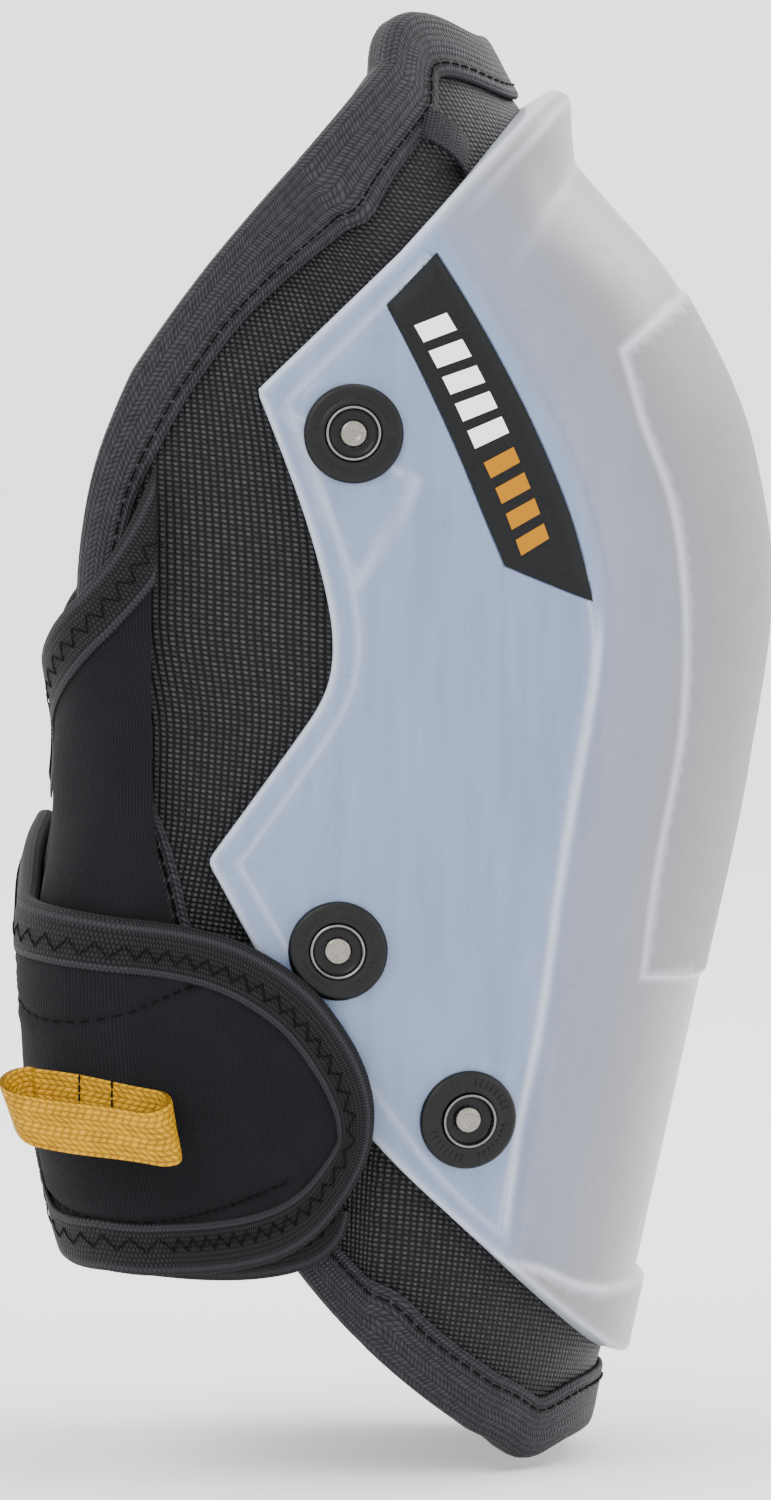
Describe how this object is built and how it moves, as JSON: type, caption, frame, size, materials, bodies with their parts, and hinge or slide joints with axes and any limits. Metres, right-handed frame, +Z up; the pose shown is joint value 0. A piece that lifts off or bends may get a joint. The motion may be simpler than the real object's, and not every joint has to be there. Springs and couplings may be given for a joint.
{
  "type": "knee pad",
  "caption": "Strap-on work knee pad: a translucent hard shell snapped to a padded woven cover, with neoprene wings and a hook-and-loop strap.",
  "frame": {"origin": "the centre of the wearer's knee joint, inside the pad", "axes": "+X forward through the kneecap, +Y to the wearer's left, +Z up the leg"},
  "size_m": [0.1495, 0.1663, 0.2819],
  "materials": {
    "frosted_shell": "frosted translucent",
    "charcoal_inlay": "satin",
    "black_washer": "satin",
    "clear_washer": "matte",
    "nickel": "satin nickel",
    "bright_steel": "bright",
    "black_weave": "coarse woven",
    "foam": "closed-cell foam",
    "gel": "soft gel",
    "lining": "brushed knit",
    "black_webbing": "woven tape",
    "black_elastic": "ribbed elastic",
    "neoprene": "knit-faced neoprene",
    "pile": "brushed loop pile",
    "hook": "hook tape",
    "yellow_webbing": "coarse woven tape"
  },
  "bodies": {
    "pad": {"outer_shell": "frosted_shell", "label_inlay_near": "charcoal_inlay", "label_inlay_far": "charcoal_inlay", "snap_washers": "black_washer", "snap_sockets": "nickel", "snap_springs": "nickel", "snap_studs": "bright_steel", "snap_backing_washers": "clear_washer", "fabric_cover": "black_weave", "foam_core": "foam", "gel_insert": "gel", "inner_liner": "lining", "edge_binding": "black_webbing", "shell_keeper_near": "black_webbing", "shell_keeper_far": "black_webbing", "wing_base_near": "neoprene", "wing_base_far": "neoprene", "wing_base_band_near": "black_elastic", "wing_base_band_far": "black_elastic"},
    "far_wing": {"wing_far": "neoprene", "wing_band_upper_far": "black_elastic", "wing_band_lower_far": "black_elastic", "strap_rear": "neoprene", "strap_rear_band_upper": "black_elastic", "strap_rear_band_lower": "black_elastic", "strap_join_patch": "neoprene"},
    "near_wing": {"wing_near": "neoprene", "wing_band_upper_near": "black_elastic", "wing_band_lower_near": "black_elastic", "loop_pile_near": "pile"},
    "strap_end": {"strap_end": "neoprene", "strap_end_band": "black_elastic", "hook_patch": "hook", "pull_tab_base": "yellow_webbing"},
    "pull_tab": {"pull_tab": "yellow_webbing"}
  },
  "joints": [
    {"name": "far_wing_open", "type": "hinge", "parent": "pad", "child": "far_wing", "pos_m": [-0.043, 0.0785, -0.04], "axis": [0, 0, -1], "range_deg": [0, 30]},
    {"name": "near_wing_open", "type": "hinge", "parent": "pad", "child": "near_wing", "pos_m": [-0.043, -0.0785, -0.04], "axis": [0, 0, 1], "range_deg": [0, 21]},
    {"name": "strap_peel", "type": "hinge", "parent": "far_wing", "child": "strap_end", "pos_m": [-0.06042, -0.06875, -0.11221], "axis": [0.114, 0.0756, -0.9906], "range_deg": [0, 90]},
    {"name": "pull_tab_swing", "type": "hinge", "parent": "strap_end", "child": "pull_tab", "pos_m": [-0.05804, -0.08113, -0.08724], "axis": [-0.9708, 0.1887, 0.1478], "range_deg": [-20, 32]}
  ],
  "couplings": [
    {"joint": "strap_peel", "follows": "far_wing_open", "ratio": 3},
    {"joint": "near_wing_open", "follows": "far_wing_open", "ratio": 0.7}
  ]
}
